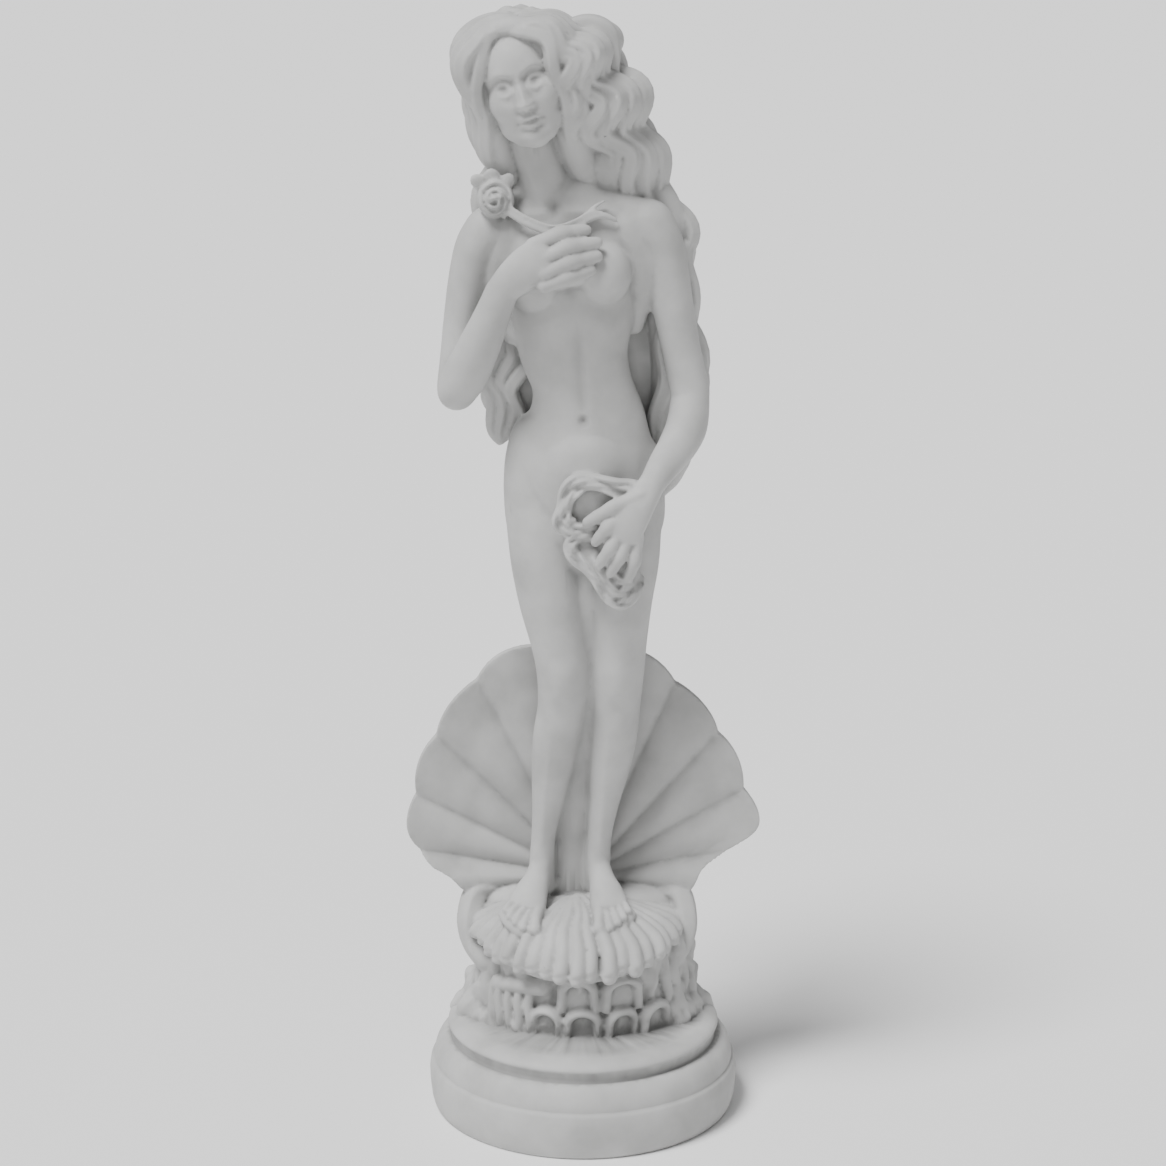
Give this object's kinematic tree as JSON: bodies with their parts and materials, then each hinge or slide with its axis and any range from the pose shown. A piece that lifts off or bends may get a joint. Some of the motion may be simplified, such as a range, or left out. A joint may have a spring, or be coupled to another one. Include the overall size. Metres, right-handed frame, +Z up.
{
  "type": "cast plaster statuette of a classical standing figure on a scallop shell",
  "caption": "Small cast plaster statuette: nude standing classical figure with long wavy hair, on a scallop shell, rough rock and a round stepped base.",
  "frame": {"origin": "centre of the round base on the surface it stands on", "axes": "+Z up from the base to the crown of the head; -Y is the figure's front; +X is the figure's left"},
  "size_m": [0.0814, 0.0706, 0.2497],
  "materials": {
    "cast_plaster": "matte unglazed white cast plaster, slightly chalky"
  },
  "bodies": {
    "root": {"aphrodite_statuette": "cast_plaster"}
  },
  "joints": []
}
